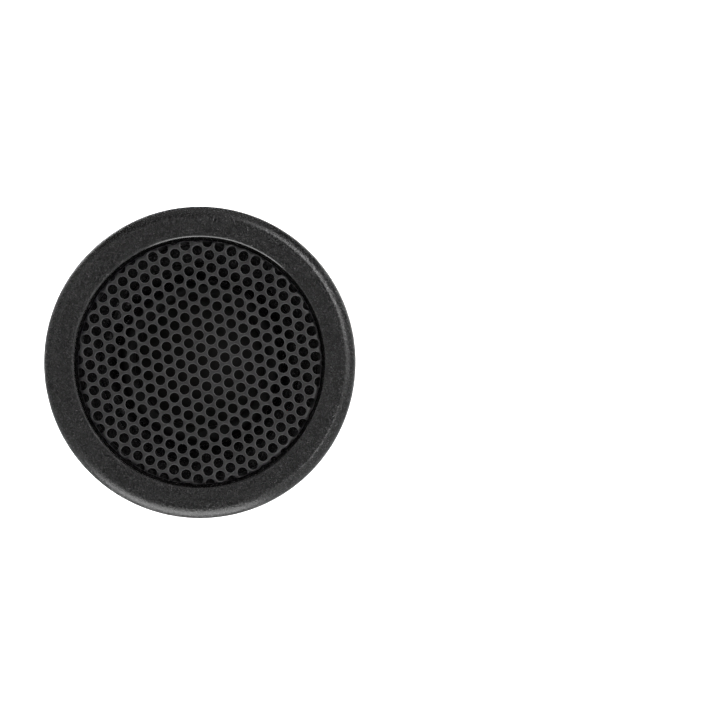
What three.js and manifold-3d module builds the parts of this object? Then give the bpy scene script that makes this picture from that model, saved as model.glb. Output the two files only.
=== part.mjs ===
// A flush-mount dome tweeter for a car's door, dash or pillar.
//
// Millimetres. The tweeter's axis is Y: the grille faces -Y, the terminals point to +Y, and +Z is up.
// The origin is on that axis, in the plane of the flange's back, where the panel's face lies.
// "front" and "back" are Y values, and angles in the XZ plane run from +X towards +Z.

import * as THREE from 'three';
import { mergeVertices } from 'three/addons/utils/BufferGeometryUtils.js';
import Module from 'manifold-3d';

const wasm = await Module();
wasm.setup();

// Flatness of curves.
const LARGE_SIDES = 48;
const DRIVER_SIDES = 36;
const CAPACITOR_SIDES = 16;
const SMALL_SIDES = 12;
const HOLE_SIDES = 8;
const WIRE_SIDES = 6;

// Assembly gap between pieces that bear on each other, and how far a cutting shape runs past a face.
const GAP = 0.1;
const OVERSHOOT = 1;

// Housing: flange with a tight crest and a broad shoulder, shelf behind the grille, and threaded barrel.
const FLANGE_RADIUS = 24.25;
const FLANGE_FRONT = -5;
const FLANGE_DRAFT = 0.1;
const FLANGE_BACK_CHAMFER = 0.25;
const LAND_INNER = 23.5;
const GASKET_RECESS = 0.4;
const FACE_FALL = 0.12;
const CREST_ROUND = 0.7;
const CREST_TURN = 25;
const SHOULDER_ROUND = 2.7;
const SHOULDER_TURN = 72;
const OPENING_RADIUS = 19.4;
const LIP_ROUND = 0.4;
const SHELF_RADIUS = 15.5;
const SHELF_FRONT = -2.6;
const SHELF_BACK = 0;
const BARREL_RADIUS = 21.5;
const BARREL_BORE = 19.7;
const BARREL_BACK = 13;
const KEYWAY_WIDTH = 3;
const KEYWAY_DEPTH = 0.9;
const PILLAR_RADIUS = 2.1;
const PILLAR_CIRCLE = 17.8;
const PILLAR_ANGLES = [90, 210, 330];
const PILLAR_ROOT = 1;
const DRIVER_SCREW_COVER = 0.7;

// Grille: perforated steel with a rolled, turned-down rim that stands on the shelf.
const GRILLE_FRONT = -4.4;
const GRILLE_SHEET = 0.6;
const GRILLE_RADIUS = 18.9;
const GRILLE_ROLL = 0.9;
const GRILLE_HOLE_PITCH = 2;
const GRILLE_HOLE_RADIUS = 0.75;
const GRILLE_ROW_ANGLE = 38.7;
const GRILLE_HOLE_CENTRE = { x: 0.5, z: 0.27 };
const GRILLE_MARGIN = 0.35;
const GRILLE_RIM_LAP = 0.3;

// Front plate: waveguide throat, flange behind the shelf, and skirt around the yoke cup.
const THROAT_RADIUS = 12.9;
const PLATE_FRONT = SHELF_BACK + GAP;
const PLATE_BACK = 1.5;
const PLATE_RADIUS = BARREL_BORE - 0.3;
const WAVEGUIDE_RADIUS = SHELF_RADIUS - 0.2;
const WAVEGUIDE_FRONT = SHELF_FRONT + 0.1;
const WAVEGUIDE_THROAT = { out: 0.6, y: -1.3 };
const WAVEGUIDE_FLARE = { out: 1.5, y: -2.2 };
const PILLAR_CLEARANCE = 0.3;
const SKIRT_RADIUS = 15.4;
const SKIRT_BACK = 6;
const LEAD_SLOT_WIDTH = 1.8;
const LEAD_SLOT_DEPTH = 1.2;

// Diaphragm: dome, half-roll surround and the ring that carries it.
const DOME_RADIUS = 9.8;
const DOME_HEIGHT = 3.6;
const DOME_SKIN = 0.25;
const DOME_STEPS = 6;
const SURROUND_FRONT = PLATE_BACK + GAP;
const SURROUND_SKIN = 0.3;
const SURROUND_INNER = DOME_RADIUS + 0.1;
const SURROUND_OUTER = 14.5;
const ROLL_CENTRE = 11.3;
const ROLL_RADIUS = 1.2;
const ROLL_STEPS = 6;
const RING_INNER = 12.5;
const RING_FRONT = SURROUND_FRONT + SURROUND_SKIN + GAP;
const RING_BACK = 3.2;

// Voice coil, motor and damping.
const FORMER_RADIUS = 9.75;
const FORMER_WALL = 0.2;
const FORMER_FRONT = 2.0;
const FORMER_BACK = 6.1;
const COIL_RADIUS = 10.3;
const COIL_FRONT = 3;
const COIL_BACK = 5.6;
const GAP_FRONT = RING_BACK + GAP;
const POLE_RADIUS = 9.1;
const POLE_THICKNESS = 2;
const MAGNET_RADIUS = 8.7;
const MAGNET_THICKNESS = 3.9;
const CUP_RADIUS = 14.6;
const CUP_BORE = 10.8;
const CUP_BASE = 2;
const FELT_RADIUS = 7.5;
const FELT_THICKNESS = 0.9;
const PAD_RADIUS = 8;

// Rear cover, terminals and screws.
const COVER_RADIUS = 21.2;
const COVER_THICKNESS = 1.8;
const COVER_CHAMFER = 0.6;
const BLOCK_SIZE = { x: 14, y: 2, z: 5 };
const TERMINAL_SPACING = 8;
const TERMINAL_DROP = -12;
const BLADE_WIDTH = 2.8;
const BLADE_THICKNESS = 0.8;
const BLADE_ROOT = { x: 3.2, z: 1 };
const BLADE_FRONT = 12.1;
const BLADE_BACK = 22.6;
const BLADE_SHOULDER = 0.7;
const BLADE_HOLE_RADIUS = 0.65;
const BLADE_HOLE_SETBACK = 2.2;
const BLADE_CLEARANCE = 0.2;
const SCREW_HEAD_RADIUS = 1.5;
const SCREW_HEAD_HEIGHT = 1;
const SCREW_SHANK_RADIUS = 0.7;
const SCREW_HOLE_RADIUS = 1.05;
const SCREW_RECESS = { length: 1.8, width: 0.4 };
const DRIVER_SCREW_LENGTH = 3.2;
const DRIVER_SCREW_CIRCLE = 17.4;
const DRIVER_SCREW_ANGLES = [30, 150, 270];
const COVER_SCREW_LENGTH = 7;

// Mounting hardware.
const GASKET_INNER = 21.8;
const GASKET_RADIUS = 23.4;
const GASKET_THICKNESS = 0.8;
const WASHER_FRONT = 3;
const WASHER_THICKNESS = 0.8;
const TONGUE_CLEARANCE = 0.3;
const NUT_HEIGHT = 4;
const NUT_BORE = 21.85;
const NUT_RADIUS = 23.6;
const NUT_GRIP_DEPTH = 0.55;
const NUT_GRIPS = 24;
const NUT_GRIP_PROFILE = [[0, 0], [0.4, 0], [0.55, NUT_GRIP_DEPTH], [0.85, NUT_GRIP_DEPTH]];

// Wiring.
const LUG_ANGLES = { positive: 60, negative: 120 };
const LUG_SIZE = { radial: 3, y: 0.4, across: 1.6 };
const LUG_CIRCLE = SKIRT_RADIUS + 2;
const TINSEL_RADIUS = 0.25;
const WIRE_RADIUS = 0.5;
const CAPACITOR_RADIUS = 1.9;
const CAPACITOR_CIRCLE = 17.6;
const CAPACITOR_FRONT = 2.6;
const CAPACITOR_BACK = 10.6;
const CAPACITOR_LEAD_RADIUS = 0.25;
const CAPACITOR_LEAD_OFFSET = 0.9;
const CAPACITOR_LEAD_FRONT = 10.1;
const CAPACITOR_LEAD_BACK = 11.2;

// Stops of the leads: (radius, y) in the plane of a lug for the tinsels, and (x, y, z) for the wires.
const TINSEL_ROUTE = [[10.2, 2.25], [11.3, 2.25], [12.5, 2.35], [14.5, 2.35], [16.1, 2.35], [17, 2.4]];
const WIRE_ROUTES = {
  positive: [[5, 12.4, -13.4], [8.5, 12.1, -12.6], [12.5, 12.2, -8.5], [15.6, 12.2, -4], [17.3, 11.9, -1.4]],
  capacitor: [[16.9, 12, 1.4], [17.2, 11.8, 3.4], [16.9, 9.5, 5.6], [15.3, 5, 9], [10.6, 3, 14.4]],
  negative: [[-4.6, 12.4, -13.4], [-8.6, 12.2, -12.6], [-14.4, 12.1, -5], [-16.2, 11, 4], [-14.4, 6, 9.8],
    [-10.4, 3, 14.4]],
};

// Places worked out from the sizes above.
const FELT_BACK = GAP_FRONT - GAP;
const POLE_BACK = GAP_FRONT + POLE_THICKNESS;
const MAGNET_FRONT = POLE_BACK + GAP;
const MAGNET_BACK = MAGNET_FRONT + MAGNET_THICKNESS;
const CUP_FLOOR = MAGNET_BACK + GAP;
const CUP_BACK = CUP_FLOOR + CUP_BASE;
const COVER_FRONT = BARREL_BACK + GAP;
const COVER_BACK = COVER_FRONT + COVER_THICKNESS;
const BLOCK_FRONT = COVER_BACK + GAP;
const BLOCK_BACK = BLOCK_FRONT + BLOCK_SIZE.y;
const NUT_FRONT = WASHER_FRONT + WASHER_THICKNESS + GAP;

const COLOURS = {
  housing: { color: 0x242425, roughness: 0.6, metalness: 0 },
  grille: { color: 0x2c2c2d, roughness: 0.5, metalness: 0.3 },
  plate: { color: 0x161617, roughness: 0.7, metalness: 0 },
  dome: { color: 0x1d1b1a, roughness: 0.85, metalness: 0 },
  surround: { color: 0x181818, roughness: 0.8, metalness: 0 },
  former: { color: 0xb9bcc0, roughness: 0.35, metalness: 1 },
  copper: { color: 0xb5652f, roughness: 0.35, metalness: 1 },
  steel: { color: 0x9a9da1, roughness: 0.35, metalness: 1 },
  magnet: { color: 0xc4c6c8, roughness: 0.2, metalness: 1 },
  felt: { color: 0x6f6d66, roughness: 1, metalness: 0 },
  foam: { color: 0x1b1b1c, roughness: 1, metalness: 0 },
  nylon: { color: 0x1f2022, roughness: 0.55, metalness: 0 },
  washer: { color: 0x2c2d30, roughness: 0.5, metalness: 0 },
  block: { color: 0x3a2418, roughness: 0.45, metalness: 0 },
  blade: { color: 0xc9c4b4, roughness: 0.3, metalness: 1 },
  screw: { color: 0x3b3b3d, roughness: 0.35, metalness: 1 },
  sleeve: { color: 0x1c2c5e, roughness: 0.4, metalness: 0 },
  redWire: { color: 0x8c1c18, roughness: 0.5, metalness: 0 },
  blackWire: { color: 0x151515, roughness: 0.5, metalness: 0 },
};

// Geometry helpers.

const point = (radius, y) => new THREE.Vector2(radius, y);

function polar(radius, degrees) {
  const angle = THREE.MathUtils.degToRad(degrees);
  return { x: radius * Math.cos(angle), z: radius * Math.sin(angle) };
}

// Points on an arc in a (radius, y) profile. Zero degrees points away from the axis and 90 towards +Y.
function arc(centreRadius, centreY, radius, startDegrees, endDegrees, steps) {
  return Array.from({ length: steps + 1 }, (_, i) => {
    const angle = THREE.MathUtils.degToRad(startDegrees + ((endDegrees - startDegrees) * i) / steps);
    return point(centreRadius + radius * Math.cos(angle), centreY + radius * Math.sin(angle));
  });
}

// The corners of a closed polygon around (x, y), without a repeated end point.
function circle(x, y, radius, sides) {
  return arc(x, y, radius, 0, 360, sides).slice(0, sides);
}

// A profile turned about Y. It runs outwards along the front and back along the rear.
function turned(profile, sides) {
  return new THREE.LatheGeometry(profile, sides);
}

// The same for a ring, whose profile closes on itself.
function turnedRing(profile, sides) {
  return turned([...profile, profile[0].clone()], sides);
}

function tubeRing(inner, outer, front, back, sides) {
  const profile = [point(inner, front), point(outer, front), point(outer, back), point(inner, back)];
  return turnedRing(profile, sides);
}

function disc(radius, front, back, sides) {
  return new THREE.CylinderGeometry(radius, radius, back - front, sides).translate(0, (front + back) / 2, 0);
}

function rod(radius, front, back, centre, sides = SMALL_SIDES) {
  return disc(radius, front, back, sides).translate(centre.x, 0, centre.z);
}

function box(sizeX, front, back, sizeZ, centre) {
  return new THREE.BoxGeometry(sizeX, back - front, sizeZ).translate(centre.x, (front + back) / 2, centre.z);
}

// A cutting shape for a screw hole that opens at its back.
function screwHole(front, back, centre) {
  return rod(SCREW_HOLE_RADIUS, front, back + OVERSHOOT, centre, HOLE_SIDES);
}

// A box whose sizeX runs along the radius at the given angle.
function radialBox(sizeRadial, front, back, sizeAcross, radius, degrees) {
  const blank = box(sizeRadial, front, back, sizeAcross, { x: radius, z: 0 });
  return blank.rotateY(-THREE.MathUtils.degToRad(degrees));
}

function wire(stops, radius, sides = WIRE_SIDES) {
  const path = new THREE.CatmullRomCurve3(stops.map((stop) => new THREE.Vector3(...stop)));
  const section = new THREE.Shape(circle(0, 0, radius, sides));
  const steps = stops.length * 3;
  return new THREE.ExtrudeGeometry(section, { steps, bevelEnabled: false, extrudePath: path });
}

// Booleans.

function toSolid(geometry) {
  const bare = geometry.clone();
  bare.deleteAttribute('normal');
  bare.deleteAttribute('uv');
  const merged = mergeVertices(bare, 1e-4);
  const vertProperties = new Float32Array(merged.attributes.position.array);
  const triVerts = new Uint32Array(merged.index.array);
  return new wasm.Manifold(new wasm.Mesh({ numProp: 3, vertProperties, triVerts }));
}

function toGeometry(solid) {
  const mesh = solid.getMesh();
  const geometry = new THREE.BufferGeometry();
  geometry.setAttribute('position', new THREE.BufferAttribute(mesh.vertProperties, 3));
  geometry.setIndex(new THREE.BufferAttribute(mesh.triVerts, 1));
  geometry.computeVertexNormals();
  return geometry;
}

// The base with every shape in `add` joined to it, and then every shape in `cut` taken away.
function combine(base, { add = [], cut = [] }) {
  const joined = add.reduce((solid, shape) => solid.add(toSolid(shape)), toSolid(base));
  const finished = cut.reduce((solid, shape) => solid.subtract(toSolid(shape)), joined);
  return toGeometry(finished);
}

// Sub-parts.

function housing() {
  const shoulder = polar(SHOULDER_ROUND, SHOULDER_TURN);
  const crestShift = polar(SHOULDER_ROUND - CREST_ROUND, CREST_TURN);
  const shoulderRadius = FLANGE_RADIUS - FLANGE_DRAFT - shoulder.z;
  const crestRadius = shoulderRadius + crestShift.z;
  const crestY = FLANGE_FRONT + FACE_FALL + CREST_ROUND;
  const shoulderY = crestY + crestShift.x;
  const body = turnedRing([
    ...arc(OPENING_RADIUS + LIP_ROUND, FLANGE_FRONT + LIP_ROUND, LIP_ROUND, 180, 270, 2),
    ...arc(crestRadius, crestY, CREST_ROUND, -90, CREST_TURN - 90, 2),
    ...arc(shoulderRadius, shoulderY, SHOULDER_ROUND, CREST_TURN - 90, SHOULDER_TURN - 90, 4).slice(1),
    point(FLANGE_RADIUS, -FLANGE_BACK_CHAMFER),
    point(FLANGE_RADIUS - FLANGE_BACK_CHAMFER, 0),
    point(LAND_INNER, 0),
    point(LAND_INNER, -GASKET_RECESS),
    point(BARREL_RADIUS, -GASKET_RECESS),
    point(BARREL_RADIUS, BARREL_BACK),
    point(BARREL_BORE, BARREL_BACK),
    point(BARREL_BORE, SHELF_BACK),
    point(SHELF_RADIUS, SHELF_BACK),
    point(SHELF_RADIUS, SHELF_FRONT),
    point(OPENING_RADIUS, SHELF_FRONT),
  ], LARGE_SIDES);
  const pillars = PILLAR_ANGLES.map((angle) => (
    rod(PILLAR_RADIUS, SHELF_BACK - PILLAR_ROOT, BARREL_BACK, polar(PILLAR_CIRCLE, angle))));
  const keyways = [0, 180].map((angle) => (
    radialBox(2 * KEYWAY_DEPTH, GAP, BARREL_BACK + OVERSHOOT, KEYWAY_WIDTH, BARREL_RADIUS, angle)));
  const pillarHoles = PILLAR_ANGLES.map((angle) => (
    screwHole(BARREL_BACK - COVER_SCREW_LENGTH, BARREL_BACK, polar(PILLAR_CIRCLE, angle))));
  const shelfHoles = DRIVER_SCREW_ANGLES.map((angle) => (
    screwHole(SHELF_FRONT + DRIVER_SCREW_COVER, SHELF_BACK, polar(DRIVER_SCREW_CIRCLE, angle))));
  return combine(body, { add: pillars, cut: [...keyways, ...pillarHoles, ...shelfHoles] });
}

// Centres of the holes that lie wholly in the grille's flat part, on a triangular grid.
function grilleHoleCentres() {
  const limit = GRILLE_RADIUS - GRILLE_ROLL - GRILLE_HOLE_RADIUS - GRILLE_MARGIN;
  const reach = Math.ceil((2 * GRILLE_RADIUS) / GRILLE_HOLE_PITCH);
  const along = polar(GRILLE_HOLE_PITCH, GRILLE_ROW_ANGLE);
  const across = polar(GRILLE_HOLE_PITCH, GRILLE_ROW_ANGLE + 60);
  const centres = [];
  for (let i = -reach; i <= reach; i += 1) {
    for (let j = -reach; j <= reach; j += 1) {
      const x = GRILLE_HOLE_CENTRE.x + i * along.x + j * across.x;
      const z = GRILLE_HOLE_CENTRE.z + i * along.z + j * across.z;
      if (Math.hypot(x, z) < limit) centres.push({ x, z });
    }
  }
  return centres;
}

function grille() {
  const flatRadius = GRILLE_RADIUS - GRILLE_ROLL;
  const lapRadius = flatRadius - GRILLE_RIM_LAP;
  const sheet = new THREE.Shape(circle(0, 0, flatRadius, LARGE_SIDES));
  for (const { x, z } of grilleHoleCentres()) {
    sheet.holes.push(new THREE.Path(circle(x, z, GRILLE_HOLE_RADIUS, HOLE_SIDES)));
  }
  const flat = new THREE.ExtrudeGeometry(sheet, { depth: GRILLE_SHEET, bevelEnabled: false });
  flat.rotateX(Math.PI / 2).translate(0, GRILLE_FRONT + GRILLE_SHEET, 0);
  const rim = turnedRing([
    point(lapRadius, GRILLE_FRONT),
    ...arc(flatRadius, GRILLE_FRONT + GRILLE_ROLL, GRILLE_ROLL, -90, 0, 3),
    point(GRILLE_RADIUS, SHELF_FRONT - GAP),
    point(GRILLE_RADIUS - GRILLE_SHEET, SHELF_FRONT - GAP),
    point(GRILLE_RADIUS - GRILLE_SHEET, GRILLE_FRONT + GRILLE_SHEET),
    point(lapRadius, GRILLE_FRONT + GRILLE_SHEET),
  ], LARGE_SIDES);
  return combine(rim, { add: [flat] });
}

// Slots that let the tinsel leads out from under the surround, behind the front plate's flange.
function leadSlots() {
  const inner = RING_INNER - OVERSHOOT;
  const outer = SKIRT_RADIUS + OVERSHOOT;
  return Object.values(LUG_ANGLES).map((angle) => radialBox(
    outer - inner, PLATE_BACK, PLATE_BACK + LEAD_SLOT_DEPTH, LEAD_SLOT_WIDTH, (inner + outer) / 2, angle));
}

function frontPlate() {
  const body = turnedRing([
    point(THROAT_RADIUS, 0),
    point(THROAT_RADIUS + WAVEGUIDE_THROAT.out, WAVEGUIDE_THROAT.y),
    point(THROAT_RADIUS + WAVEGUIDE_FLARE.out, WAVEGUIDE_FLARE.y),
    point(WAVEGUIDE_RADIUS, WAVEGUIDE_FRONT),
    point(WAVEGUIDE_RADIUS, PLATE_FRONT),
    point(PLATE_RADIUS, PLATE_FRONT),
    point(PLATE_RADIUS, PLATE_BACK),
    point(SKIRT_RADIUS, PLATE_BACK),
    point(SKIRT_RADIUS, SKIRT_BACK),
    point(CUP_RADIUS + GAP, SKIRT_BACK),
    point(CUP_RADIUS + GAP, PLATE_BACK),
    point(THROAT_RADIUS, PLATE_BACK),
  ], LARGE_SIDES);
  const notchRadius = PILLAR_RADIUS + PILLAR_CLEARANCE;
  const notches = PILLAR_ANGLES.map((angle) => (
    rod(notchRadius, PLATE_FRONT - OVERSHOOT, SKIRT_BACK + OVERSHOOT, polar(PILLAR_CIRCLE, angle))));
  const screwHoles = DRIVER_SCREW_ANGLES.map((angle) => (
    screwHole(PLATE_FRONT - OVERSHOOT, PLATE_BACK, polar(DRIVER_SCREW_CIRCLE, angle))));
  return combine(body, { cut: [...notches, ...screwHoles, ...leadSlots()] });
}

// A spherical cap: its front skin out to the rim, and its back skin in again.
function dome() {
  const sphere = (DOME_RADIUS ** 2 + DOME_HEIGHT ** 2) / (2 * DOME_HEIGHT);
  const centreY = SURROUND_FRONT - DOME_HEIGHT + sphere;
  const rimAngle = THREE.MathUtils.radToDeg(Math.asin(DOME_RADIUS / sphere));
  const front = arc(0, centreY, sphere, -90, -90 + rimAngle, DOME_STEPS);
  const back = arc(0, centreY, sphere - DOME_SKIN, -90 + rimAngle, -90, DOME_STEPS);
  front[0].x = 0;
  back[DOME_STEPS].x = 0;
  return turned([...front, ...back], DRIVER_SIDES);
}

function surround() {
  const back = SURROUND_FRONT + SURROUND_SKIN;
  return turnedRing([
    point(SURROUND_INNER, SURROUND_FRONT),
    ...arc(ROLL_CENTRE, SURROUND_FRONT, ROLL_RADIUS, -180, 0, ROLL_STEPS),
    point(SURROUND_OUTER, SURROUND_FRONT),
    point(SURROUND_OUTER, back),
    ...arc(ROLL_CENTRE, back, ROLL_RADIUS - SURROUND_SKIN, 0, -180, ROLL_STEPS),
    point(SURROUND_INNER, back),
  ], DRIVER_SIDES);
}

function diaphragmRing() {
  const ring = tubeRing(RING_INNER, SURROUND_OUTER, RING_FRONT, RING_BACK, DRIVER_SIDES);
  return combine(ring, { cut: leadSlots() });
}

function coilFormer() {
  return tubeRing(FORMER_RADIUS - FORMER_WALL, FORMER_RADIUS, FORMER_FRONT, FORMER_BACK, DRIVER_SIDES);
}

function voiceCoil() {
  return tubeRing(FORMER_RADIUS + GAP / 2, COIL_RADIUS, COIL_FRONT, COIL_BACK, DRIVER_SIDES);
}

function yokeCup() {
  return turned([
    point(0, CUP_FLOOR),
    point(CUP_BORE, CUP_FLOOR),
    point(CUP_BORE, GAP_FRONT),
    point(CUP_RADIUS, GAP_FRONT),
    point(CUP_RADIUS, CUP_BACK),
    point(0, CUP_BACK),
  ], DRIVER_SIDES);
}

function lug(angle) {
  const front = PLATE_BACK + GAP;
  return radialBox(LUG_SIZE.radial, front, front + LUG_SIZE.y, LUG_SIZE.across, LUG_CIRCLE, angle);
}

// A limp lead from the former's front edge, out under the surround, through the ring and onto the lug.
function tinselLead(angle) {
  const stops = TINSEL_ROUTE.map(([radius, y]) => {
    const { x, z } = polar(radius, angle);
    return [x, y, z];
  });
  return wire(stops, TINSEL_RADIUS);
}

function capacitor() {
  const centre = { x: CAPACITOR_CIRCLE, z: 0 };
  const body = rod(CAPACITOR_RADIUS, CAPACITOR_FRONT, CAPACITOR_BACK, centre, CAPACITOR_SIDES);
  const leads = [-1, 1].map((side) => {
    const exit = { x: CAPACITOR_CIRCLE, z: side * CAPACITOR_LEAD_OFFSET };
    return rod(CAPACITOR_LEAD_RADIUS, CAPACITOR_LEAD_FRONT, CAPACITOR_LEAD_BACK, exit, WIRE_SIDES);
  });
  return combine(body, { add: leads });
}

// A pan-head screw along Y, with its head to +Y. headY is the face that the head bears on.
function screw(headY, length, centre) {
  const middle = headY + SCREW_HEAD_HEIGHT / 2;
  const past = headY + SCREW_HEAD_HEIGHT + OVERSHOOT;
  const head = rod(SCREW_HEAD_RADIUS, headY, headY + SCREW_HEAD_HEIGHT, centre, SMALL_SIDES);
  const shank = rod(SCREW_SHANK_RADIUS, headY - length, middle, centre, HOLE_SIDES);
  const { length: long, width } = SCREW_RECESS;
  const recess = [box(long, middle, past, width, centre), box(width, middle, past, long, centre)];
  return combine(head, { add: [shank], cut: recess });
}

const terminalCentre = (side) => ({ x: (side * TERMINAL_SPACING) / 2, z: TERMINAL_DROP });

// Cutting shapes for the slots that the blades' roots pass through.
function terminalSlots(front, back) {
  const sizeX = BLADE_ROOT.x + 2 * BLADE_CLEARANCE;
  const sizeZ = BLADE_ROOT.z + 2 * BLADE_CLEARANCE;
  return [-1, 1].map((side) => box(sizeX, front - OVERSHOOT, back + OVERSHOOT, sizeZ, terminalCentre(side)));
}

function rearCover() {
  const plate = turned([
    point(0, COVER_FRONT),
    point(COVER_RADIUS, COVER_FRONT),
    point(COVER_RADIUS, COVER_BACK - COVER_CHAMFER),
    point(COVER_RADIUS - COVER_CHAMFER, COVER_BACK),
    point(0, COVER_BACK),
  ], LARGE_SIDES);
  const screwHoles = PILLAR_ANGLES.map((angle) => (
    screwHole(COVER_FRONT - OVERSHOOT, COVER_BACK, polar(PILLAR_CIRCLE, angle))));
  return combine(plate, { cut: [...screwHoles, ...terminalSlots(COVER_FRONT, COVER_BACK)] });
}

function terminalBlock() {
  const body = box(BLOCK_SIZE.x, BLOCK_FRONT, BLOCK_BACK, BLOCK_SIZE.z, { x: 0, z: TERMINAL_DROP });
  return combine(body, { cut: terminalSlots(BLOCK_FRONT, BLOCK_BACK) });
}

// A flat blade with a chamfered tip and a locking hole. Its thicker root passes through the block.
function blade(side) {
  const half = BLADE_WIDTH / 2;
  const rootBack = BLOCK_BACK + GAP;
  const outline = new THREE.Shape([
    point(-half, rootBack - OVERSHOOT),
    point(half, rootBack - OVERSHOOT),
    point(half, BLADE_BACK - BLADE_SHOULDER),
    point(half - BLADE_SHOULDER, BLADE_BACK),
    point(BLADE_SHOULDER - half, BLADE_BACK),
    point(-half, BLADE_BACK - BLADE_SHOULDER),
  ]);
  const holeY = BLADE_BACK - BLADE_HOLE_SETBACK;
  outline.holes.push(new THREE.Path(circle(0, holeY, BLADE_HOLE_RADIUS, HOLE_SIDES)));
  const centre = terminalCentre(side);
  const tongue = new THREE.ExtrudeGeometry(outline, { depth: BLADE_THICKNESS, bevelEnabled: false });
  tongue.translate(centre.x, 0, centre.z - BLADE_THICKNESS / 2);
  return combine(box(BLADE_ROOT.x, BLADE_FRONT, rootBack, BLADE_ROOT.z, centre), { add: [tongue] });
}

// A foam ring in the flange's recess, which stands proud until the panel squeezes it.
function flangeGasket() {
  const front = GAP - GASKET_RECESS;
  return tubeRing(GASKET_INNER, GASKET_RADIUS, front, front + GASKET_THICKNESS, LARGE_SIDES);
}

// A ring with two tongues that run in the barrel's keyways, so it slides but doesn't turn.
function slipWasher() {
  const back = WASHER_FRONT + WASHER_THICKNESS;
  const ring = tubeRing(NUT_BORE, NUT_RADIUS, WASHER_FRONT, back, LARGE_SIDES);
  const tongueInner = BARREL_RADIUS - KEYWAY_DEPTH + TONGUE_CLEARANCE;
  const tongueOuter = NUT_RADIUS - TONGUE_CLEARANCE;
  const tongueWidth = KEYWAY_WIDTH - 2 * TONGUE_CLEARANCE;
  const tongueCentre = (tongueInner + tongueOuter) / 2;
  const tongues = [0, 180].map((angle) => (
    radialBox(tongueOuter - tongueInner, WASHER_FRONT, back, tongueWidth, tongueCentre, angle)));
  return combine(ring, { add: tongues });
}

// A ring nut with finger grips around its edge.
function lockNut() {
  const outline = [];
  for (let grip = 0; grip < NUT_GRIPS; grip += 1) {
    for (const [share, depth] of NUT_GRIP_PROFILE) {
      const { x, z } = polar(NUT_RADIUS - depth, ((grip + share) * 360) / NUT_GRIPS);
      outline.push(point(x, z));
    }
  }
  const shape = new THREE.Shape(outline);
  shape.holes.push(new THREE.Path(circle(0, 0, NUT_BORE, LARGE_SIDES)));
  const body = new THREE.ExtrudeGeometry(shape, { depth: NUT_HEIGHT, bevelEnabled: false });
  return body.rotateX(Math.PI / 2).translate(0, NUT_FRONT + NUT_HEIGHT, 0);
}

// Assembly.

const tweeter = new THREE.Group();

function place(name, geometry, colour) {
  const mesh = new THREE.Mesh(geometry, new THREE.MeshStandardMaterial(COLOURS[colour]));
  mesh.name = name;
  tweeter.add(mesh);
}

place('housing', housing(), 'housing');
place('grille', grille(), 'grille');
place('front_plate', frontPlate(), 'plate');
place('dome', dome(), 'dome');
place('surround', surround(), 'surround');
place('diaphragm_ring', diaphragmRing(), 'nylon');
place('coil_former', coilFormer(), 'former');
place('voice_coil', voiceCoil(), 'copper');
place('damping_felt', disc(FELT_RADIUS, FELT_BACK - FELT_THICKNESS, FELT_BACK, DRIVER_SIDES), 'felt');
place('pole_plate', disc(POLE_RADIUS, GAP_FRONT, POLE_BACK, DRIVER_SIDES), 'steel');
place('magnet', disc(MAGNET_RADIUS, MAGNET_FRONT, MAGNET_BACK, DRIVER_SIDES), 'magnet');
place('yoke_cup', yokeCup(), 'steel');
place('rear_pad', disc(PAD_RADIUS, CUP_BACK + GAP, COVER_FRONT - GAP, DRIVER_SIDES), 'foam');
for (const [polarity, angle] of Object.entries(LUG_ANGLES)) {
  place(`lug_${polarity}`, lug(angle), 'blade');
  place(`tinsel_${polarity}`, tinselLead(angle), 'copper');
}
place('capacitor', capacitor(), 'sleeve');
place('wire_positive', wire(WIRE_ROUTES.positive, WIRE_RADIUS), 'redWire');
place('wire_capacitor', wire(WIRE_ROUTES.capacitor, WIRE_RADIUS), 'redWire');
place('wire_negative', wire(WIRE_ROUTES.negative, WIRE_RADIUS), 'blackWire');
DRIVER_SCREW_ANGLES.forEach((angle, i) => {
  const centre = polar(DRIVER_SCREW_CIRCLE, angle);
  place(`driver_screw_${i + 1}`, screw(PLATE_BACK + GAP, DRIVER_SCREW_LENGTH, centre), 'screw');
});
place('rear_cover', rearCover(), 'housing');
PILLAR_ANGLES.forEach((angle, i) => {
  const centre = polar(PILLAR_CIRCLE, angle);
  place(`cover_screw_${i + 1}`, screw(COVER_BACK + GAP, COVER_SCREW_LENGTH, centre), 'screw');
});
place('terminal_block', terminalBlock(), 'block');
place('blade_positive', blade(1), 'blade');
place('blade_negative', blade(-1), 'blade');
place('flange_gasket', flangeGasket(), 'foam');
place('slip_washer', slipWasher(), 'washer');
place('lock_nut', lockNut(), 'nylon');

export default tweeter;
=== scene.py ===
"""Looks of a flush-mount car dome tweeter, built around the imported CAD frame.

The tweeter's axis is Y: the grille faces -Y and the terminals +Y, with +Z up. Sizes are in metres, and the
angles that aren't written with math.radians or TAU are in degrees.
"""

import math

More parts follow.
